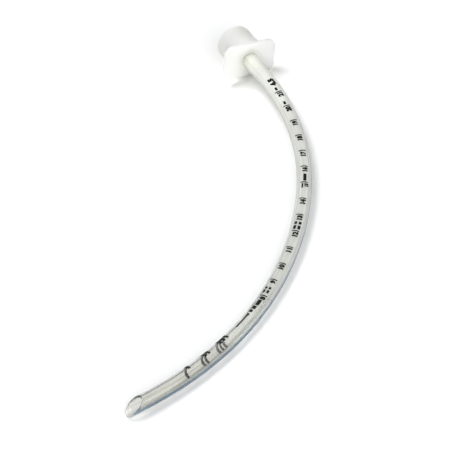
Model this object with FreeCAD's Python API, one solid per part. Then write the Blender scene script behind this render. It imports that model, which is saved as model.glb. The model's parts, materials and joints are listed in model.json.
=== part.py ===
import FreeCAD, Part
import math
import os

from FreeCAD import Placement, Rotation, Vector

# An uncuffed endotracheal tube: a curved clear tube with a bevelled tip, pushed onto a
# moulded connector with a 15 mm cone and a winged flange. Millimetres, +Z up. The part
# lies at rest on the plane Z = 0, with the tip towards -Y and the connector towards +Y.

# Clear tube
bore_diameter = 4.5
wall = 0.85
tube_length = 238.4        # along the axis, leading point of the tip to the flange
tip_curve_radius = 140.0
middle_curve_radius = 178.0
end_curve_radius = 148.0
tip_heading = 30.5         # degrees from +X, along the tube away from the tip
bevel_angle = 38.0         # degrees between the cut face and the axis
bevel_margin = 1.0         # straight tube left behind the cut face
tip_rounding = 0.28        # polished edges of the cut face
flare_run = 1.6            # where the tube swells to pass onto the spigot

# Spigot, the push-in end of the connector
spigot_stretch = 0.5       # how much wider the spigot is than the tube's free bore
spigot_length = 10.4
spigot_wall = 0.65
spigot_lead = 1.0          # tapered lead-in at its free end
spigot_nose_relief = 0.125 # free end narrower than the tube's bore, on the radius

# Cone of the connector
cone_mouth_diameter = 15.15
cone_taper = 1.0 / 40.0
cone_length = 13.0
cone_wall = 1.25
cone_rim_rounding = 0.4
cavity_draft = 0.15        # how much the cavity narrows on its way in, on the radius
cavity_depth = 8.2
funnel_floor = 0.9         # flange face to the bottom of the funnel

# Flange of the connector
flange_thickness = 1.8
flange_lip = 0.1           # flange past the cone's foot, above and below
wing_reach = 4.0           # flange past the cone's foot, on each side
flange_corner = 4.0
flange_edge_rounding = 0.5
root_fillet = 0.5
connector_turn = -8.0      # degrees about its own axis; the outer wing is the lower one

# Densities that settle how the part balances, in g/cm3
tube_density = 1.25
connector_density = 0.92

# Working values
overrun = 5.0              # how far a cutter runs past what it cuts
tilt_limits = (-10.0, 20.0)  # degrees, between which the rest position is looked for

# Sizes that follow from the ones above
bore_radius = bore_diameter / 2
outer_radius = bore_radius + wall
bevel_length = 2 * outer_radius / math.tan(math.radians(bevel_angle))
tip_run = bevel_length + bevel_margin
seat_run = spigot_length + flare_run
curve_run = (tube_length - tip_run - seat_run) / 3
spigot_radius = bore_radius + spigot_stretch / 2
gas_way_radius = spigot_radius - spigot_wall
# the wall keeps its cross-section where the spigot stretches it
stretched_radius = math.sqrt(spigot_radius ** 2 + outer_radius ** 2 - bore_radius ** 2)
cone_mouth_radius = cone_mouth_diameter / 2
cone_foot_radius = cone_mouth_radius + cone_length * cone_taper / 2
connector_height = flange_thickness + cone_length
cavity_mouth_radius = cone_mouth_radius - cone_wall
cavity_foot_radius = cavity_mouth_radius - cavity_draft
flange_width = 2 * (cone_foot_radius + wing_reach)
flange_height = 2 * (cone_foot_radius + flange_lip)

UP = Vector(0, 0, 1)


def heading_vector(angle):
    """Unit vector in the tube's plane at an angle in radians from +X."""
    return Vector(math.cos(angle), math.sin(angle), 0)


def axis_runs():
    """The tube's axis from the tip: straight, three tangent arcs to the left, straight.

    Each run is (start point, start heading, length, radius), with radius None on a
    straight run."""
    runs = []
    point = Vector(0, 0, 0)
    angle = math.radians(tip_heading)
    plan = [
        (tip_run, None),
        (curve_run, tip_curve_radius),
        (curve_run, middle_curve_radius),
        (curve_run, end_curve_radius),
        (seat_run, None),
    ]
    for length, radius in plan:
        runs.append((point, angle, length, radius))
        point, angle = along_run(runs[-1], length)
    return runs


def along_run(run, distance):
    """Point and heading at a distance into one run."""
    start, angle, _, radius = run
    if radius is None:
        return start + heading_vector(angle) * distance, angle
    turn = distance / radius
    centre = start + heading_vector(angle + math.pi / 2) * radius
    return centre + heading_vector(angle + turn - math.pi / 2) * radius, angle + turn


def along_axis(distance):
    """Point and heading at a distance from the tip."""
    for run in axis_runs():
        if distance <= run[2]:
            return along_run(run, distance)
        distance -= run[2]
    return along_run(axis_runs()[-1], run[2])


def revolved(profile, axis_point, axis_direction):
    """Solid of revolution of a closed outline of (radius, height) corners about Z."""
    points = [Vector(radius, 0, height) for radius, height in profile]
    face = Part.Face(Part.makePolygon(points + points[:1]))
    solid = face.revolve(Vector(0, 0, 0), UP, 360)
    solid.Placement = Placement(axis_point, Rotation(UP, axis_direction))
    return solid


def ring_face(centre, direction):
    """The tube's cross-section, square to its axis."""
    outer = Part.Wire(Part.makeCircle(outer_radius, centre, direction))
    inner = Part.Wire(Part.makeCircle(bore_radius, centre, direction))
    return Part.Face([outer, inner])


def bevelled_tip(run):
    """Straight end of the tube, cut on the slant with the opening facing up."""
    start, angle, length, _ = run
    direction = heading_vector(angle)
    across = heading_vector(angle - math.pi / 2)
    solid = ring_face(start, direction).extrude(direction * length)
    side = 2 * (bevel_length + overrun)
    cutter = Part.makeBox(side, side, side, Vector(-side / 2, -side / 2, 0))
    leading_point = start - UP * outer_radius
    cutter.Placement = Placement(
        leading_point,
        Rotation(across, bevel_angle) * Rotation(direction, across * -1, UP, "ZXY"),
    )
    solid = solid.cut(cutter)
    cut_normal = cutter.Placement.Rotation.multVec(UP)
    cut_face = max(solid.Faces, key=lambda face: abs(face.normalAt(0, 0).dot(cut_normal)))
    return solid.makeFillet(tip_rounding, cut_face.Edges)


def curved_tube(run):
    """One arc of the tube, turned about the arc's centre."""
    start, angle, length, radius = run
    centre = start + heading_vector(angle + math.pi / 2) * radius
    degrees = math.degrees(length / radius)
    return ring_face(start, heading_vector(angle)).revolve(centre, UP, degrees)


def stretched_end(run):
    """Straight end of the tube, swollen where the spigot is inside it."""
    start, angle, length, _ = run
    profile = [
        (bore_radius, 0),
        (outer_radius, 0),
        (stretched_radius, flare_run),
        (stretched_radius, length),
        (spigot_radius, length),
        (spigot_radius, flare_run),
    ]
    return revolved(profile, start, heading_vector(angle))


def single(shape):
    """The one solid that a shape holds, with leftover seams between its faces removed."""
    (solid,) = shape.removeSplitter().Solids
    return solid


def make_tube():
    """The whole tube in its own plane, one piece from bevel to connector."""
    runs = axis_runs()
    parts = [bevelled_tip(runs[0])]
    parts += [curved_tube(run) for run in runs[1:4]]
    parts.append(stretched_end(runs[4]))
    return single(parts[0].multiFuse(parts[1:]))


def rounded_plate(width, height, corner, thickness):
    """Flat plate on the XY plane with four rounded corners."""
    plate = Part.makeBox(width, height, thickness, Vector(-width / 2, -height / 2, 0))
    upright = [edge for edge in plate.Edges if abs(edge.tangentAt(edge.FirstParameter).z) > 0.9]
    return plate.makeFillet(corner, upright)


def make_flange():
    """Winged plate with softened rims."""
    plate = rounded_plate(flange_width, flange_height, flange_corner, flange_thickness)
    rims = [
        edge
        for edge in plate.Edges
        if abs(edge.tangentAt(edge.FirstParameter).z) < 0.1
    ]
    return plate.makeFillet(flange_edge_rounding, rims)


def make_root():
    """Hollow fillet round the cone's foot, trimmed to the flange's outline."""
    centre = Vector(cone_foot_radius + root_fillet, 0, flange_thickness + root_fillet)
    foot = Vector(cone_foot_radius, 0, flange_thickness)
    outer_end = Vector(centre.x, 0, flange_thickness)
    upper_end = Vector(cone_foot_radius, 0, centre.z)
    middle = centre + Vector(-root_fillet, 0, -root_fillet) * math.sqrt(0.5)
    inner_foot = Vector(cavity_mouth_radius, 0, flange_thickness)
    inner_top = Vector(cavity_mouth_radius, 0, centre.z)
    outline = [
        Part.LineSegment(inner_foot, outer_end).toShape(),
        Part.Arc(outer_end, middle, upper_end).toShape(),
        Part.LineSegment(upper_end, inner_top).toShape(),
        Part.LineSegment(inner_top, inner_foot).toShape(),
    ]
    ring = Part.Face(Part.Wire(outline)).revolve(Vector(0, 0, 0), UP, 360)
    outline_block = rounded_plate(
        flange_width - 2 * flange_edge_rounding,
        flange_height,
        flange_corner,
        centre.z,
    )
    return ring.common(outline_block)


def make_connector():
    """Cone, flange and spigot as one moulding about Z, with the gas way through it.

    The flange's face towards the tube is at Z = 0."""
    base = Vector(0, 0, 0)
    cone = Part.makeCone(
        cone_foot_radius,
        cone_mouth_radius,
        cone_length,
        Vector(0, 0, flange_thickness),
    )
    rim = max(cone.Edges, key=lambda edge: edge.CenterOfMass.z)
    cone = cone.makeFillet(cone_rim_rounding, [rim])
    spigot = revolved(
        [
            (0, flange_thickness / 2),
            (spigot_radius, flange_thickness / 2),
            (spigot_radius, spigot_lead - spigot_length),
            (bore_radius - spigot_nose_relief, -spigot_length),
            (0, -spigot_length),
        ],
        base,
        UP,
    )
    gas_way = revolved(
        [
            (0, -spigot_length - overrun),
            (gas_way_radius, -spigot_length - overrun),
            (gas_way_radius, funnel_floor),
            (cavity_foot_radius, connector_height - cavity_depth),
            (cavity_mouth_radius, connector_height),
            (cavity_mouth_radius, connector_height + overrun),
            (0, connector_height + overrun),
        ],
        base,
        UP,
    )
    body = make_flange().multiFuse([cone, make_root(), spigot]).removeSplitter()
    return single(body.cut(gas_way))


def seat_placement():
    """Places the connector on the end of the tube, with its turn about the axis."""
    end, angle = along_axis(tube_length)
    direction = heading_vector(angle)
    left = heading_vector(angle + math.pi / 2)
    square_on = Rotation(left, UP, direction, "ZXY")
    return Placement(end, Rotation(direction, -connector_turn) * square_on)


def lowest_flange_point(placement):
    """Lowest point of the flange's outer corner on its middle plane, once placed."""
    side = placement.Rotation.multVec(Vector(-1, 0, 0))
    top = placement.Rotation.multVec(Vector(0, 1, 0))
    middle = placement.multVec(Vector(0, 0, flange_thickness / 2))
    corner_centre = (
        middle
        + side * (flange_width / 2 - flange_corner)
        - top * (flange_height / 2 - flange_corner)
    )
    slope = math.hypot(side.z, top.z)
    downhill = (side * side.z + top * top.z) * (-1 / slope)
    return corner_centre + downhill * flange_corner


def tilt_about_contact(contact, degrees):
    """Tips the part about the tube's axis direction where the tube touches down."""
    point, angle = along_axis(contact)
    rotation = Rotation(heading_vector(angle), degrees)
    return Placement(UP * outer_radius - rotation.multVec(point), rotation)


def halved(function, low, high):
    """Where a function changes sign between two values, by halving the gap."""
    low_sign = function(low) > 0
    for _ in range(40):
        middle = (low + high) / 2
        if (function(middle) > 0) == low_sign:
            low = middle
        else:
            high = middle
    return (low + high) / 2


def rest_placement(seat, balance_point):
    """How the part lies on a bench: on the outer corner of the flange and on one point of
    the tube, with the centre of mass over the line between them."""

    def tilt_for(contact):
        def corner_height(degrees):
            return lowest_flange_point(tilt_about_contact(contact, degrees) * seat).z

        return tilt_about_contact(contact, halved(corner_height, *tilt_limits))

    def side_of_line(contact):
        placement = tilt_for(contact)
        touch = placement.multVec(along_axis(contact)[0])
        corner = lowest_flange_point(placement * seat) - touch
        weight = placement.multVec(balance_point) - touch
        return corner.x * weight.y - corner.y * weight.x

    return tilt_for(halved(side_of_line, tip_run, tube_length - seat_run))


def centred(shapes):
    """Shift that puts the middle of the whole part's footprint at the origin."""
    boxes = [shape.optimalBoundingBox(False, False) for shape in shapes]
    low_x = min(box.XMin for box in boxes)
    high_x = max(box.XMax for box in boxes)
    low_y = min(box.YMin for box in boxes)
    high_y = max(box.YMax for box in boxes)
    low_z = min(box.ZMin for box in boxes)
    return Vector(-(low_x + high_x) / 2, -(low_y + high_y) / 2, -low_z)


def placed(shape, placement):
    """A copy of the shape moved by a placement."""
    copy = shape.copy()
    copy.Placement = placement * copy.Placement
    return copy


def main():
    tube = make_tube()
    connector = make_connector()
    seat = seat_placement()
    seated = placed(connector, seat)

    tube_mass = tube.Volume * tube_density
    connector_mass = seated.Volume * connector_density
    balance_point = (tube.CenterOfMass * tube_mass + seated.CenterOfMass * connector_mass) * (
        1 / (tube_mass + connector_mass)
    )
    rest = rest_placement(seat, balance_point)
    shift = Placement(centred([placed(tube, rest), placed(seated, rest)]), Rotation())
    rest = shift * rest

    os.makedirs("parts", exist_ok=True)
    for name, shape in (("tube", placed(tube, rest)), ("connector", placed(seated, rest))):
        shape.exportStep(f"parts/{name}.step")
        print(name, "valid", shape.isValid(), "solids", len(shape.Solids), "volume", shape.Volume)

    cone_axis = (rest * seat).Rotation.multVec(UP)
    cone_wall_low = flange_thickness + root_fillet
    cone_wall_high = connector_height - cone_rim_rounding
    cone_middle = (rest * seat).multVec(UP * ((cone_wall_low + cone_wall_high) / 2))
    print("mass in grams", (tube_mass + connector_mass) / 1000)
    print("cone middle", cone_middle, "axis", cone_axis, "length", cone_wall_high - cone_wall_low)
    print("placement of the tube's plane", rest)


main()
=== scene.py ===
import json
import math

import bmesh
import bpy
from mathutils import Matrix, Vector


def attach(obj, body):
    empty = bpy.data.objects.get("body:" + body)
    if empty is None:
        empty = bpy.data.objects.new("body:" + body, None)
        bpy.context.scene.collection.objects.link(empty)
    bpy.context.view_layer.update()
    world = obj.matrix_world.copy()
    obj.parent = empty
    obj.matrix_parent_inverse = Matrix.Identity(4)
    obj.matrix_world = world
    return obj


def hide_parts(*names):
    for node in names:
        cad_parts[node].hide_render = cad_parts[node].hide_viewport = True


# An uncuffed endotracheal tube lying on a white table: clear soft tube with printed depth
# marks, and a white connector. Metres, in the part's own frame: tip towards -Y.

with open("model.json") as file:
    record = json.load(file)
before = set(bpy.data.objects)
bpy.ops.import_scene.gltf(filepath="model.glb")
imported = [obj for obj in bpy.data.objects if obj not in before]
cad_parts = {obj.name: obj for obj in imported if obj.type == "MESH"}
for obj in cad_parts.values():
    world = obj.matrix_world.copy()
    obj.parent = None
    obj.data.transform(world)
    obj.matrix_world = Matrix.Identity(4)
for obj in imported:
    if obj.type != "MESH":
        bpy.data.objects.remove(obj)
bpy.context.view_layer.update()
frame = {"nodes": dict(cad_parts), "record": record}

MM = 0.001
CENTIMETRE = 10 * MM

# Tube
BORE_RADIUS = 2.25 * MM
WALL = 0.85 * MM
OUTER_RADIUS = BORE_RADIUS + WALL
TUBE_LENGTH = 238.4 * MM
CURVE_RADII = (140.0 * MM, 178.0 * MM, 148.0 * MM)
TIP_HEADING = math.radians(30.5)
BEVEL = math.radians(38.0)
BEVEL_MARGIN = 1.0 * MM
TIP_ROUNDING = 0.3 * MM
FLARE_RUN = 1.6 * MM
SPIGOT_LENGTH = 10.4 * MM
SPIGOT_RADIUS = 2.5 * MM
SPIGOT_GRIP = 0.01 * MM        # how far the soft wall presses onto the spigot
STRETCHED_RADIUS = math.sqrt(SPIGOT_RADIUS**2 + OUTER_RADIUS**2 - BORE_RADIUS**2)
TIP_RUN = 2 * OUTER_RADIUS / math.tan(BEVEL) + BEVEL_MARGIN
SEAT_RUN = SPIGOT_LENGTH + FLARE_RUN
CURVE_RUN = (TUBE_LENGTH - TIP_RUN - SEAT_RUN) / len(CURVE_RADII)

# How the tube's plane lies on the table
PLANE_YAW = math.radians(0.0769817)
PLANE_PITCH = math.radians(3.56276)
PLANE_ROLL = math.radians(2.47484)

# Connector, from the tube's end to the middle of the cone's wall
FLANGE_THICKNESS = 1.8 * MM
ROOT_FILLET = 0.5 * MM

# Print
PRINT_ANGLE = math.radians(97.0)     # round the tube from the inside of its curve
PRINT_TWIST = math.radians(16.0)     # towards the inside of the curve, up to the connector
TWIST_START = 160.0 * MM
DIGIT_HEIGHT = 2.35 * MM
DIGIT_WIDENING = 1.12
SIZE_HEIGHT = 2.7 * MM
SIZE_START = 214.2 * MM
SIZE_END = 219.4 * MM
TICK_HEIGHT = 3.0 * MM
TICK_WIDTH = 0.6 * MM
TICK_GAP = 0.3 * MM
TICK_INSIDE = 0.58             # share of the tick towards the inside of the curve
TICK_ROUNDING = 0.12 * MM
SMALL_NUMBER = 15              # this one is printed smaller, beside a line
SMALL_HEIGHT = 0.72 * DIGIT_HEIGHT
SMALL_GAP = 0.7 * MM
SMALL_SHIFT = 0.75 * MM
SMALL_LINE_LENGTH = 2.9 * MM
SMALL_LINE_WIDTH = 0.65 * MM
LONG_DASH = 4.4 * MM
DASH_HEIGHT = 1.0 * MM
DASH_GAP = 1.0 * MM
DASH_ROUNDING = 0.25 * MM
FADING_DASHES = (3.4 * MM, 2.0 * MM, 1.5 * MM)
FADING_END = 77.3 * MM
FADING_GAP = 0.5 * MM
GUIDE_START = 59.2 * MM
GUIDE_LENGTH = 8.7 * MM
GUIDE_MIDDLE = 0.75 * MM
GUIDE_WIDTH = 0.55 * MM
DOT_LENGTH = 1.4 * MM
DOT_WIDTH = 1.2 * MM
DOT_ROUNDING = 0.5 * MM
RING_START = 21.0 * MM
RING_WIDTH = 1.2 * MM
RING_PITCH = 1.95 * MM
RING_REACH = math.radians(178.0)
RING_ROUNDING = 0.3 * MM
INK_DEPTH = 0.01 * MM          # how far the ink goes into the wall
INK_THICKNESS = 0.03 * MM
BOLDNESS = 0.09                # of the letter size
DIGIT_SPACING = 1.04

# Dark line on the outside of the curve: the line in the wall that shows on an X-ray, laid where
# the tube's outer edge is seen, so it is also painted shade along that edge
XRAY_AND_SHADE_LINE_ANGLE = math.radians(196.0)       # at the tip
XRAY_AND_SHADE_LINE_END_ANGLE = math.radians(178.0)   # at the connector
XRAY_AND_SHADE_LINE_WIDTH = 1.35 * MM

# Mesh density
SIDES = 96
STEP = 1.0 * MM
PRINT_STEP = 0.2 * MM
TIP_ROWS = 12
CORNER_ROWS = 6
SEAT_ROWS = 8
FIGURE_STEPS = 4

# View
VIEW_TARGET = Vector((4.58 * MM, -1.33 * MM, 0.0))
VIEW_DISTANCE = 1.5
VIEW_ELEVATION = math.radians(37.57)
VIEW_ROLL = math.radians(-8.27)
LENS = 303.4                   # millimetres, as the sensor's width
SENSOR_WIDTH = 36.0

# Looks; the scales of noise are per metre
PVC_IOR = 1.53
PVC_DENSITY = 30.0
PVC_CLOUD_SCALE = 90.0
STREAK_STRETCH = (3.0, 15.0, 1.0)    # streaks along the tube, then round it
THROUGH_SHARE = 0.35           # how much of the light on milky plastic goes through
PLASTIC_IOR = 1.49
PLASTIC_CLOUD_SCALE = 160.0
GRAIN_SCALE = 2600.0
GRAIN_STRENGTH = 0.08
GRAIN_DEPTH = 0.05 * MM
SCATTER_DEPTH = 12.0 * MM
INK_SCALE = 2200.0
INK_SPECULAR = 0.12

# Table
TABLE_HALF = 3.0
TABLE_DROP = 0.02 * MM
TABLE_WHITE = (0.9, 0.9, 0.9, 1.0)
TABLE_LIFT = 0.065             # added to the light that the table sends back
FAR_START = 0.3                # metres from the middle of the part
FAR_END = 1.0

# Lamps: place and size in metres, power in watts
KEY = ((-0.75, 0.52, 2.1), 1.4, 35.0)
FILL = ((0.5, -1.9, 1.0), 1.8, 36.0)


def smooth(share):
    """Soft step from 0 to 1."""
    share = min(max(share, 0.0), 1.0)
    return share * share * (3 - 2 * share)


def heading(angle):
    return Vector((math.cos(angle), math.sin(angle), 0.0))


def plan_point(distance):
    """Point and heading in the tube's own plane, at a distance from the tip."""
    point = Vector((0.0, 0.0, 0.0))
    angle = TIP_HEADING
    runs = [(TIP_RUN, None)] + [(CURVE_RUN, radius) for radius in CURVE_RADII]
    for length, radius in runs:
        step = min(distance, length)
        if radius is None:
            point = point + heading(angle) * step
        else:
            centre = point + heading(angle + math.pi / 2) * radius
            angle += step / radius
            point = centre + heading(angle - math.pi / 2) * radius
        distance -= step
        if distance <= 0:
            return point, angle
    return point + heading(angle) * distance, angle


def mount(name):
    (found,) = [m for m in frame["record"]["mounts"] if m["name"] == name]
    return found


CONE = mount("breathing_cone")
CONE_AXIS = Vector(CONE["axis"]).normalized()
CONE_MIDDLE = FLANGE_THICKNESS + ROOT_FILLET + CONE["dims"]["length_mm"] * MM / 2
TUBE_END = Vector(CONE["pos_m"]) - CONE_AXIS * CONE_MIDDLE
PLANE = (
    Matrix.Rotation(PLANE_YAW, 3, "Z")
    @ Matrix.Rotation(PLANE_PITCH, 3, "Y")
    @ Matrix.Rotation(PLANE_ROLL, 3, "X")
)
TIP = TUBE_END - PLANE @ plan_point(TUBE_LENGTH)[0]


def tube_frame(distance):
    """Centre of the tube and its three directions: along, inside of the curve, up."""
    point, angle = plan_point(distance)
    along = PLANE @ heading(angle)
    inside = PLANE @ heading(angle + math.pi / 2)
    return TIP + PLANE @ point, along, inside, PLANE @ Vector((0.0, 0.0, 1.0))


def round_point(distance, angle, radius):
    """Point round the tube's axis; angle 0 is the inside of the curve, 90 degrees is up."""
    centre, _, inside, up = tube_frame(distance)
    return centre + (inside * math.cos(angle) + up * math.sin(angle)) * radius


def new_object(name, data):
    piece = bpy.data.objects.new(name, data)
    bpy.context.scene.collection.objects.link(piece)
    return piece


def spread(start, end, count):
    """Evenly spaced values from start to end, both included."""
    return [start + (end - start) * i / count for i in range(count + 1)]


def rounded_corner(start, corner, end, opening, count):
    """Points of the arc that rounds a corner of a given opening angle."""
    weight = math.sin(opening / 2)
    points = []
    for share in spread(0.0, 1.0, count):
        parts = ((1 - share) ** 2, 2 * weight * share * (1 - share), share**2)
        whole = sum(parts)
        point = [0.0, 0.0]
        for part, place in zip(parts, (start, corner, end)):
            point[0] += part / whole * place[0]
            point[1] += part / whole * place[1]
        points.append(tuple(point))
    return points


def lip(angle):
    """Rounded edge of the slanted cut at one angle, as (radius, distance) from outside in."""
    slope = math.sin(angle) / math.tan(BEVEL)
    length = math.hypot(1.0, slope)

    def cut(radius):
        return radius * slope + OUTER_RADIUS / math.tan(BEVEL)

    outer_opening = math.pi / 2 + math.atan(slope)
    inner_opening = math.pi - outer_opening
    outer_back = TIP_ROUNDING / math.tan(outer_opening / 2)
    inner_back = TIP_ROUNDING / math.tan(inner_opening / 2)
    outer_in = OUTER_RADIUS - outer_back / length
    inner_out = BORE_RADIUS + inner_back / length
    outer = rounded_corner(
        (OUTER_RADIUS, cut(OUTER_RADIUS) + outer_back),
        (OUTER_RADIUS, cut(OUTER_RADIUS)),
        (outer_in, cut(outer_in)),
        outer_opening,
        CORNER_ROWS,
    )
    inner = rounded_corner(
        (inner_out, cut(inner_out)),
        (BORE_RADIUS, cut(BORE_RADIUS)),
        (BORE_RADIUS, cut(BORE_RADIUS) + inner_back),
        inner_opening,
        CORNER_ROWS,
    )
    return outer + inner


def tube_stations():
    """Distances of the square rings, with the wall's two radii at each."""
    count = round((TUBE_LENGTH - TIP_RUN - SEAT_RUN) / STEP)
    flare_start = TUBE_LENGTH - SEAT_RUN
    flare_end = flare_start + FLARE_RUN
    distances = spread(TIP_RUN, flare_start, count)
    distances += spread(flare_start, flare_end, SEAT_ROWS)[1:]
    distances += spread(flare_end, TUBE_LENGTH, SEAT_ROWS)[1:]
    stations = []
    for distance in distances:
        swell = smooth((distance - flare_start) / FLARE_RUN)
        outer = OUTER_RADIUS + (STRETCHED_RADIUS - OUTER_RADIUS) * swell
        inner = BORE_RADIUS + (SPIGOT_RADIUS - SPIGOT_GRIP - BORE_RADIUS) * swell
        stations.append((distance, outer, inner))
    return stations


def make_tube():
    """Closed mesh of the wall: outside, rounded bevel, bore and end face."""
    stations = tube_stations()
    columns = []
    for side in range(SIDES):
        angle = -math.pi / 2 + 2 * math.pi * side / SIDES
        edge = lip(angle)
        outer_tip = spread(TIP_RUN, edge[0][1], TIP_ROWS)[1:-1]
        inner_tip = spread(edge[-1][1], TIP_RUN, TIP_ROWS)[1:-1]
        profile = [(outer, distance) for distance, outer, _ in reversed(stations)]
        profile += [(OUTER_RADIUS, distance) for distance in outer_tip]
        profile += edge
        profile += [(BORE_RADIUS, distance) for distance in inner_tip]
        profile += [(inner, distance) for distance, _, inner in stations]
        columns.append((angle, profile))

    rows = len(columns[0][1])
    frames = {}
    vertices = []
    for angle, profile in columns:
        for radius, distance in profile:
            key = round(distance / MM, 5)
            if key not in frames:
                frames[key] = tube_frame(distance)
            centre, _, inside, up = frames[key]
            vertices.append(centre + (inside * math.cos(angle) + up * math.sin(angle)) * radius)
    faces = []
    for side in range(SIDES):
        here = side * rows
        there = ((side + 1) % SIDES) * rows
        for row in range(rows):
            after = (row + 1) % rows
            faces.append((here + row, here + after, there + after, there + row))
    mesh = bpy.data.meshes.new("tube_wall")
    mesh.from_pydata([tuple(v) for v in vertices], [], faces)
    mesh.shade_smooth()
    layer = mesh.uv_layers.new(name="length_and_side")
    for polygon in mesh.polygons:
        side = polygon.index // rows
        row = polygon.index % rows
        for corner, loop in enumerate(polygon.loop_indices):
            column = side + (1 if corner in (2, 3) else 0)
            step = (row + (1 if corner in (1, 2) else 0)) % rows
            distance = columns[side][1][step][1]
            layer.data[loop].uv = (distance / TUBE_LENGTH, column / SIDES)
    return new_object("clear_tube", mesh)


def flat_mesh(outlines):
    """Flat faces on the XY plane from closed outlines."""
    flat = bmesh.new()
    for outline in outlines:
        flat.faces.new([flat.verts.new((x, y, 0.0)) for x, y in outline])
    return flat


def rounded_bar(start, end, low, high, rounding):
    """Outline of a bar with rounded corners; x runs along the tube, y to the inside."""
    rounding = min(rounding, (end - start) / 2, (high - low) / 2)
    corners = [
        (end - rounding, high - rounding, 0),
        (start + rounding, high - rounding, 90),
        (start + rounding, low + rounding, 180),
        (end - rounding, low + rounding, 270),
    ]
    outline = []
    for x, y, turn in corners:
        for degrees in (0, 30, 60, 90):
            angle = math.radians(turn + degrees)
            outline.append((x + rounding * math.cos(angle), y + rounding * math.sin(angle)))
    return outline


def bar(start, end, low, high, rounding):
    return flat_mesh([rounded_bar(start, end, low, high, rounding)])


def number(text, height, end, start=None, middle=0.0):
    """Flat figures of a height that end at a distance along the tube, stretched to start."""
    curve = bpy.data.curves.new("figures", "FONT")
    curve.body = text
    curve.offset = BOLDNESS
    curve.space_character = DIGIT_SPACING
    curve.resolution_u = FIGURE_STEPS
    holder = new_object("figures", curve)
    bpy.context.view_layer.update()
    mesh = bpy.data.meshes.new_from_object(holder)
    bpy.data.objects.remove(holder)
    flat = bmesh.new()
    flat.from_mesh(mesh)
    bpy.data.meshes.remove(mesh)
    low = min(v.co.y for v in flat.verts)
    high = max(v.co.y for v in flat.verts)
    left = min(v.co.x for v in flat.verts)
    right = max(v.co.x for v in flat.verts)
    scale = height / (high - low)
    length_scale = scale * DIGIT_WIDENING if start is None else (end - start) / (right - left)
    for vertex in flat.verts:
        x = end + (vertex.co.x - right) * length_scale
        y = middle + (vertex.co.y - (low + high) / 2) * scale
        vertex.co = Vector((x, y, 0.0))
    return flat


def wrapped(flat):
    """Bends a flat print round the tube."""
    for axis, step in ((1, PRINT_STEP), (0, STEP)):
        values = [v.co[axis] for v in flat.verts]
        normal = Vector((0.0, 1.0, 0.0)) if axis else Vector((1.0, 0.0, 0.0))
        place = math.ceil(min(values) / step) * step
        while place < max(values):
            bmesh.ops.bisect_plane(
                flat,
                geom=flat.verts[:] + flat.edges[:] + flat.faces[:],
                dist=1e-9,
                plane_co=normal * place,
                plane_no=normal,
            )
            place += step
    radius = OUTER_RADIUS - INK_DEPTH
    for vertex in flat.verts:
        twist = max(0.0, vertex.co.x - TWIST_START) / (TUBE_LENGTH - TWIST_START) * PRINT_TWIST
        angle = PRINT_ANGLE - twist - vertex.co.y / OUTER_RADIUS
        vertex.co = round_point(vertex.co.x, angle, radius)
    return flat


def depth_marks():
    """Every centimetre: a number, then a tick on its far side."""
    prints = []
    for centimetre in range(8, 22):
        tick = centimetre * CENTIMETRE
        near = tick - TICK_WIDTH / 2
        high = TICK_HEIGHT * TICK_INSIDE
        prints.append(bar(near, tick + TICK_WIDTH / 2, high - TICK_HEIGHT, high, TICK_ROUNDING))
        if centimetre != SMALL_NUMBER:
            prints.append(number(str(centimetre), DIGIT_HEIGHT, near - TICK_GAP))
    return prints


def size_mark():
    """The bore in millimetres, larger, next to the connector."""
    return [number("4.5", SIZE_HEIGHT, SIZE_END, SIZE_START)]


def dash(start, length, middle, height):
    """Plain dash with rounded corners; middle is its distance to the inside of the curve."""
    return bar(start, start + length, middle - height / 2, middle + height / 2, DASH_ROUNDING)


def plain_block(start, middle, pitch, height):
    """Two lines of two dashes, the far dash shorter."""
    prints = []
    for line in (-0.5, 0.5):
        prints.append(dash(start, 2.0 * height, middle + line * pitch, height))
        prints.append(dash(start + 2.6 * height, 1.45 * height, middle + line * pitch, height))
    return prints


def small_number():
    """The one smaller number with a line beside it, and the long dash after it."""
    tick = SMALL_NUMBER * CENTIMETRE
    near = tick - SMALL_GAP
    return [
        number(str(SMALL_NUMBER), SMALL_HEIGHT, near, middle=-SMALL_SHIFT),
        dash(near - SMALL_LINE_LENGTH, SMALL_LINE_LENGTH, 1.2 * SMALL_SHIFT, SMALL_LINE_WIDTH),
        dash(tick + 0.8 * DASH_GAP, LONG_DASH, 0.0, 1.25 * DASH_HEIGHT),
    ]


def plain_marks():
    """Plain dashes and dots where such tubes carry a line of small print."""
    prints = small_number()
    for centimetre in (20, 21):
        start = centimetre * CENTIMETRE + DASH_GAP
        prints.append(dash(start, 2 * DASH_HEIGHT, middle=0.35 * MM, height=DASH_HEIGHT))

    start = 12 * CENTIMETRE + DASH_GAP
    prints += plain_block(start, middle=0.17 * MM, pitch=1.8 * MM, height=1.15 * MM)
    start = 8 * CENTIMETRE + 1.6 * DASH_GAP
    prints += plain_block(start, middle=0.45 * MM, pitch=1.55 * MM, height=0.95 * MM)

    # three dashes before the number 8, shorter and further inside one by one
    end = FADING_END
    for place, length in enumerate(FADING_DASHES):
        middle = (0.3 + 0.25 * place) * MM
        prints.append(dash(end - length, length, middle, 1.5 * DASH_HEIGHT))
        end -= length + FADING_GAP
    return prints


def guide_line():
    """Thin line along the tube that ends in a dot."""
    line = dash(GUIDE_START, GUIDE_LENGTH, GUIDE_MIDDLE, GUIDE_WIDTH)
    start = GUIDE_START + 0.9 * GUIDE_LENGTH
    low = GUIDE_MIDDLE - DOT_WIDTH / 2
    return [line, bar(start, start + DOT_LENGTH, low, low + DOT_WIDTH, DOT_ROUNDING)]


def half_rings():
    """One, two and three lines halfway round the tube, over the inside of its curve."""
    reach = RING_REACH * OUTER_RADIUS
    prints = []
    for count in (1, 2, 3):
        for line in range(count):
            centre = RING_START + count * CENTIMETRE + (line - (count - 1) / 2) * RING_PITCH
            start = centre - RING_WIDTH / 2
            prints.append(bar(start, start + RING_WIDTH, 0.0, reach, RING_ROUNDING))
    return prints


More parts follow.
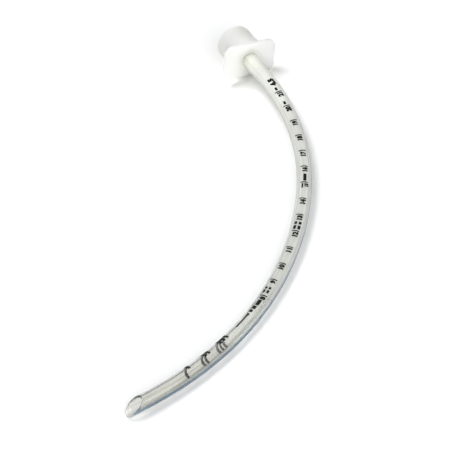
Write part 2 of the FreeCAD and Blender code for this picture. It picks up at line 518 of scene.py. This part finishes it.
def ink_piece(name, prints):
    """One thin piece of ink from many flat prints."""
    joined = bmesh.new()
    for flat in prints:
        wrapped(flat)
        part = bpy.data.meshes.new("print")
        flat.to_mesh(part)
        flat.free()
        joined.from_mesh(part)
        bpy.data.meshes.remove(part)
    mesh = bpy.data.meshes.new(name)
    joined.to_mesh(mesh)
    joined.free()
    mesh.shade_smooth()
    piece = new_object(name, mesh)
    thick = piece.modifiers.new("thickness", "SOLIDIFY")
    thick.thickness = INK_THICKNESS
    thick.offset = 1.0
    return piece


class Nodes:
    """Short hand for building a tree of shader nodes."""

    def __init__(self, tree):
        self.tree = tree
        self.tree.nodes.clear()

    def add(self, kind, **values):
        node = self.tree.nodes.new(kind)
        for name, value in values.items():
            setattr(node, name, value)
        return node

    def link(self, source, target):
        self.tree.links.new(source, target)

    def map_range(self, source, low, high, to_low, to_high):
        """Soft step from to_low to to_high while the source goes from low to high."""
        node = self.add("ShaderNodeMapRange", interpolation_type="SMOOTHSTEP")
        self.link(source, node.inputs["Value"])
        node.inputs["From Min"].default_value = low
        node.inputs["From Max"].default_value = high
        node.inputs["To Min"].default_value = to_low
        node.inputs["To Max"].default_value = to_high
        return node.outputs["Result"]

    def math(self, operation, first, second):
        node = self.add("ShaderNodeMath", operation=operation)
        for socket, value in zip(node.inputs, (first, second)):
            if isinstance(value, float):
                socket.default_value = value
            else:
                self.link(value, socket)
        return node.outputs[0]

    def multiplied(self, first, second):
        node = self.add("ShaderNodeVectorMath", operation="MULTIPLY")
        self.link(first, node.inputs[0])
        self.link(second, node.inputs[1])
        return node.outputs["Vector"]

    def ramp(self, source, stops):
        """Colour for a source of 0 to 1, from stops of (place, colour)."""
        node = self.add("ShaderNodeValToRGB")
        self.link(source, node.inputs["Fac"])
        elements = node.color_ramp.elements
        while len(elements) < len(stops):
            elements.new(0.5)
        for element, (place, colour) in zip(elements, stops):
            element.position = place
            element.color = (*colour, 1.0)
        return node.outputs["Color"]

    def mixed(self, share, first, second):
        """Mix of two shaders; the share is a number or another node's output."""
        node = self.add("ShaderNodeMixShader")
        if isinstance(share, float):
            node.inputs["Fac"].default_value = share
        else:
            self.link(share, node.inputs["Fac"])
        self.link(first, node.inputs[1])
        self.link(second, node.inputs[2])
        return node.outputs[0]

    def output(self, surface, kind="ShaderNodeOutputMaterial"):
        node = self.add(kind)
        self.link(surface, node.inputs["Surface"])
        return node

    def noise(self, vector, scale, detail=3.0):
        node = self.add("ShaderNodeTexNoise")
        self.link(vector, node.inputs["Vector"])
        node.inputs["Scale"].default_value = scale
        node.inputs["Detail"].default_value = detail
        return node.outputs["Fac"]

    def bump(self, height, strength, distance):
        node = self.add("ShaderNodeBump")
        node.inputs["Strength"].default_value = strength
        node.inputs["Distance"].default_value = distance
        self.link(height, node.inputs["Height"])
        return node.outputs["Normal"]


def new_material(name):
    material = bpy.data.materials.new(name)
    material.use_nodes = True
    return material, Nodes(material.node_tree)


def clear_wall(nodes, length_share, streaks_and_painted_highlights, facing):
    """Clear part of the wall: darker towards its edges as painted shade, and near the tip darker
    as painted shade with lighter stripes as painted highlights.
    """
    clear = nodes.add("ShaderNodeBsdfPrincipled")
    clear.inputs["Transmission Weight"].default_value = 1.0
    clear.inputs["IOR"].default_value = PVC_IOR
    frost = nodes.map_range(length_share, 0.12, 0.8, 0.03, 0.15)
    roughness = nodes.math("ADD", frost, nodes.map_range(streaks_and_painted_highlights, 0.3, 0.7, 0.0, 0.015))
    nodes.link(roughness, clear.inputs["Roughness"])
    # painted shade: the glass colour darkens towards the edges as they turn from the view, for
    # the dark edges that refraction shows
    painted_edge_shade = nodes.ramp(
        facing,
        [
            (0.0, (0.97, 0.97, 0.945)),
            (0.42, (0.95, 0.95, 0.93)),
            (0.62, (0.75, 0.77, 0.79)),
            (0.9, (0.56, 0.60, 0.65)),
        ],
    )
    # painted shade and painted highlights: darker near the tip, with lighter lengthwise stripes
    # there
    tip_shade_and_highlight_level = nodes.math("ADD", streaks_and_painted_highlights, nodes.map_range(length_share, 0.1, 0.32, 0.0, 0.3))
    painted_tip_shade_and_highlights = nodes.ramp(tip_shade_and_highlight_level, [(0.4, (0.82, 0.82, 0.79)), (0.6, (1.0, 0.998, 0.98))])
    nodes.link(nodes.multiplied(painted_edge_shade, painted_tip_shade_and_highlights), clear.inputs["Base Color"])
    return clear.outputs[0]


def milky_wall(nodes, cloud):
    """Milky part of the wall, which scatters light both ways."""
    colour = nodes.ramp(cloud, [(0.3, (0.93, 0.935, 0.89)), (0.7, (0.965, 0.97, 0.935))])
    scatter = nodes.add("ShaderNodeBsdfDiffuse")
    nodes.link(colour, scatter.inputs["Color"])
    glow = nodes.add("ShaderNodeBsdfTranslucent")
    nodes.link(colour, glow.inputs["Color"])
    return nodes.mixed(THROUGH_SHARE, scatter.outputs[0], glow.outputs[0])


def milkiness(nodes, length_share, streaks_and_painted_highlights):
    """How milky the wall is: a little at the cut tip, and more towards the connector."""
    along = nodes.map_range(length_share, 0.12, 0.62, 0.03, 0.58)
    seat = nodes.map_range(length_share, 0.78, 0.9, 0.0, 0.45)
    tip = nodes.map_range(length_share, 0.0, 0.045, 0.28, 0.0)
    whole = nodes.math("ADD", nodes.math("ADD", along, seat), tip)
    return nodes.math("MULTIPLY", whole, nodes.map_range(streaks_and_painted_highlights, 0.35, 0.65, 0.85, 1.15))


def with_xray_line(nodes, wall, length_share, side_share, cloud):
    """The wall with a dark line on the outside of the curve: the line that shows on an X-ray,
    laid along the outer edge as painted shade.
    """
    start_share = (XRAY_AND_SHADE_LINE_ANGLE + math.pi / 2) / (2 * math.pi)
    end_share = (XRAY_AND_SHADE_LINE_END_ANGLE + math.pi / 2) / (2 * math.pi)
    centre_share = nodes.map_range(length_share, 0.0, 1.0, start_share, end_share)
    half_share = XRAY_AND_SHADE_LINE_WIDTH / OUTER_RADIUS / (4 * math.pi)
    away = nodes.math("ABSOLUTE", nodes.math("SUBTRACT", side_share, centre_share), 0.0)
    # painted shade: a dark blue-grey line along the outer edge, drawn as the X-ray line
    on_edge_shade_line = nodes.map_range(away, half_share * 0.7, half_share * 1.3, 0.85, 0.0)
    edge_shade_paint = nodes.add("ShaderNodeBsdfDiffuse")
    colour = nodes.ramp(cloud, [(0.3, (0.17, 0.24, 0.32)), (0.7, (0.20, 0.27, 0.35))])
    nodes.link(colour, edge_shade_paint.inputs["Color"])
    return nodes.mixed(on_edge_shade_line, wall, edge_shade_paint.outputs[0])


def with_passing_light(nodes, wall, length_share, milk_share, facing):
    """The wall that lets some of the lamps' light through its middle, where it is clear."""
    see_through = nodes.add("ShaderNodeBsdfTransparent")
    see_through.inputs["Color"].default_value = (0.90, 0.93, 0.96, 1.0)
    passing = nodes.map_range(length_share, 0.1, 0.28, 0.4, 0.75)
    passing = nodes.math("MULTIPLY", passing, nodes.math("SUBTRACT", 1.0, milk_share))
    focus = nodes.math("MULTIPLY", passing, nodes.map_range(facing, 0.05, 0.6, 1.0, 0.2))
    shadow_ray = nodes.add("ShaderNodeLightPath").outputs["Is Shadow Ray"]
    return nodes.mixed(nodes.math("MULTIPLY", shadow_ray, focus), wall, see_through.outputs[0])


def clear_pvc():
    """Clear soft plastic with faint lengthwise streaks, milkier towards the connector; near the
    tip the streaks are lighter as painted highlights, and the edges are darker as painted shade.
    """
    material, nodes = new_material("clear_pvc_soft")
    cloud = nodes.noise(nodes.add("ShaderNodeTexCoord").outputs["Object"], PVC_CLOUD_SCALE)
    uv = nodes.add("ShaderNodeUVMap", uv_map="length_and_side").outputs["UV"]
    split = nodes.add("ShaderNodeSeparateXYZ")
    nodes.link(uv, split.inputs["Vector"])
    length_share = split.outputs["X"]
    side_share = split.outputs["Y"]
    stretch = nodes.add("ShaderNodeVectorMath", operation="MULTIPLY")
    nodes.link(uv, stretch.inputs[0])
    stretch.inputs[1].default_value = STREAK_STRETCH
    streaks_and_painted_highlights = nodes.noise(stretch.outputs["Vector"], 1.0, 1.0)
    edge = nodes.add("ShaderNodeLayerWeight")
    edge.inputs["Blend"].default_value = 0.5
    facing = edge.outputs["Facing"]

    milk_share = milkiness(nodes, length_share, streaks_and_painted_highlights)
    clear = clear_wall(nodes, length_share, streaks_and_painted_highlights, facing)
    wall = nodes.mixed(milk_share, clear, milky_wall(nodes, cloud))
    wall = with_xray_line(nodes, wall, length_share, side_share, cloud)
    wall = with_passing_light(nodes, wall, length_share, milk_share, facing)

    depth = nodes.add("ShaderNodeVolumeAbsorption")
    depth.inputs["Color"].default_value = (0.55, 0.62, 0.60, 1.0)
    depth.inputs["Density"].default_value = PVC_DENSITY
    nodes.link(depth.outputs[0], nodes.output(wall).inputs["Volume"])
    return material


def natural_plastic():
    """Uncoloured moulded plastic: white, a little translucent, satin."""
    material, nodes = new_material("natural_plastic_satin")
    place = nodes.add("ShaderNodeTexCoord").outputs["Object"]
    cloud = nodes.noise(place, PLASTIC_CLOUD_SCALE)
    grain = nodes.noise(place, GRAIN_SCALE, 2.0)
    plastic = nodes.add("ShaderNodeBsdfPrincipled")
    colour = nodes.ramp(cloud, [(0.3, (0.95, 0.95, 0.82)), (0.7, (0.97, 0.97, 0.84))])
    nodes.link(colour, plastic.inputs["Base Color"])
    nodes.link(nodes.map_range(cloud, 0.3, 0.7, 0.32, 0.42), plastic.inputs["Roughness"])
    plastic.inputs["IOR"].default_value = PLASTIC_IOR
    plastic.inputs["Subsurface Weight"].default_value = 1.0
    plastic.inputs["Subsurface Radius"].default_value = (1.0, 1.0, 0.95)
    plastic.inputs["Subsurface Scale"].default_value = SCATTER_DEPTH
    nodes.link(nodes.bump(grain, GRAIN_STRENGTH, GRAIN_DEPTH), plastic.inputs["Normal"])
    nodes.output(plastic.outputs[0])
    return material


def black_ink():
    """Printed ink, slightly uneven."""
    material, nodes = new_material("black_ink")
    place = nodes.add("ShaderNodeTexCoord").outputs["Object"]
    mottle = nodes.noise(place, INK_SCALE)
    ink = nodes.add("ShaderNodeBsdfPrincipled")
    colour = nodes.ramp(mottle, [(0.3, (0.005, 0.006, 0.004)), (0.75, (0.018, 0.019, 0.014))])
    nodes.link(colour, ink.inputs["Base Color"])
    nodes.link(nodes.map_range(mottle, 0.3, 0.7, 0.4, 0.6), ink.inputs["Roughness"])
    ink.inputs["Specular IOR Level"].default_value = INK_SPECULAR
    nodes.output(ink.outputs[0])
    return material


def white_floor():
    """White table that shows the object's soft shadow, and stays white far from it."""
    material, nodes = new_material("white_table")
    diffuse = nodes.add("ShaderNodeBsdfDiffuse")
    diffuse.inputs["Color"].default_value = TABLE_WHITE
    seen = nodes.add("ShaderNodeLightPath")
    either = nodes.math("MAXIMUM", seen.outputs["Is Camera Ray"], seen.outputs["Is Glossy Ray"])
    either = nodes.math("MAXIMUM", either, seen.outputs["Is Transmission Ray"])
    lift = nodes.add("ShaderNodeEmission")
    lift.inputs["Color"].default_value = (1.0, 1.0, 1.0, 1.0)
    place = nodes.add("ShaderNodeTexCoord").outputs["Object"]
    away = nodes.add("ShaderNodeVectorMath", operation="LENGTH")
    nodes.link(place, away.inputs[0])
    far = nodes.map_range(away.outputs["Value"], FAR_START, FAR_END, 0.0, 1.0)
    far_lift = nodes.math("MULTIPLY", seen.outputs["Is Camera Ray"], far)
    near_lift = nodes.math("MULTIPLY", either, TABLE_LIFT)
    nodes.link(nodes.math("ADD", near_lift, far_lift), lift.inputs["Strength"])
    both = nodes.add("ShaderNodeAddShader")
    nodes.link(diffuse.outputs[0], both.inputs[0])
    nodes.link(lift.outputs[0], both.inputs[1])
    nodes.output(both.outputs[0])
    return material


def make_floor():
    """Flat table just under the part, so that the two don't share a plane."""
    mesh = bpy.data.meshes.new("table")
    square = ((-1, -1), (1, -1), (1, 1), (-1, 1))
    corners = [(x * TABLE_HALF, y * TABLE_HALF, -TABLE_DROP) for x, y in square]
    mesh.from_pydata(corners, [], [(0, 1, 2, 3)])
    floor = new_object("table", mesh)
    floor.data.materials.append(white_floor())


def make_world():
    """Light from above, darker towards the horizon and white where the camera sees it."""
    world = bpy.data.worlds.new("studio")
    bpy.context.scene.world = world
    world.use_nodes = True
    nodes = Nodes(world.node_tree)
    direction = nodes.add("ShaderNodeTexCoord").outputs["Generated"]
    split = nodes.add("ShaderNodeSeparateXYZ")
    nodes.link(direction, split.inputs["Vector"])
    sky = nodes.ramp(
        split.outputs["Z"],
        [
            (0.0, (0.02, 0.03, 0.04)),
            (0.16, (0.06, 0.075, 0.09)),
            (0.45, (0.19, 0.19, 0.20)),
            (0.9, (0.27, 0.27, 0.27)),
        ],
    )
    background = nodes.add("ShaderNodeBackground")
    nodes.link(sky, background.inputs["Color"])
    strength = nodes.map_range(split.outputs["Y"], -0.7, 0.1, 1.7, 1.0)
    nodes.link(strength, background.inputs["Strength"])
    white = nodes.add("ShaderNodeBackground")
    white.inputs["Color"].default_value = (1.0, 1.0, 1.0, 1.0)
    camera_ray = nodes.add("ShaderNodeLightPath").outputs["Is Camera Ray"]
    sky_or_white = nodes.mixed(camera_ray, background.outputs[0], white.outputs[0])
    nodes.output(sky_or_white, "ShaderNodeOutputWorld")


def make_lamp(name, place, size, power):
    """Round lamp that shines at the middle of the part."""
    lamp = bpy.data.lights.new(name, "AREA")
    lamp.shape = "DISK"
    lamp.size = size
    lamp.energy = power
    holder = new_object(name, lamp)
    holder.location = place
    holder.rotation_euler = Vector(place).to_track_quat("Z", "Y").to_euler()


def make_camera():
    """Camera where the photographer's was, rolled about its view."""
    towards = Vector((0.0, -math.cos(VIEW_ELEVATION), math.sin(VIEW_ELEVATION)))
    level_up = Vector((0.0, math.sin(VIEW_ELEVATION), math.cos(VIEW_ELEVATION)))
    level_right = Vector((1.0, 0.0, 0.0))
    right = level_right * math.cos(VIEW_ROLL) + level_up * math.sin(VIEW_ROLL)
    up = level_up * math.cos(VIEW_ROLL) - level_right * math.sin(VIEW_ROLL)
    data = bpy.data.cameras.new("view")
    data.sensor_fit = "HORIZONTAL"
    data.sensor_width = SENSOR_WIDTH
    data.lens = LENS
    camera = new_object("view", data)
    turn = Matrix((right, up, towards)).transposed().to_4x4()
    camera.matrix_world = Matrix.Translation(VIEW_TARGET + towards * VIEW_DISTANCE) @ turn
    bpy.context.scene.camera = camera


make_camera()
make_world()
make_floor()
make_lamp("key", *KEY)
make_lamp("fill", *FILL)

tube = make_tube()
tube.data.materials.append(clear_pvc())
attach(tube, "root")
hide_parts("tube")

connector = frame["nodes"]["connector"]
connector.data.materials.clear()
connector.data.materials.append(natural_plastic())

INK = black_ink()
for name, prints in (
    ("depth_marks", depth_marks()),
    ("size_mark", size_mark()),
    ("plain_marks", plain_marks()),
    ("guide_line", guide_line()),
    ("half_rings", half_rings()),
):
    piece = ink_piece(name, prints)
    piece.data.materials.append(INK)
    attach(piece, "root")

bpy.context.scene.view_settings.view_transform = "Standard"

bpy.context.view_layer.update()
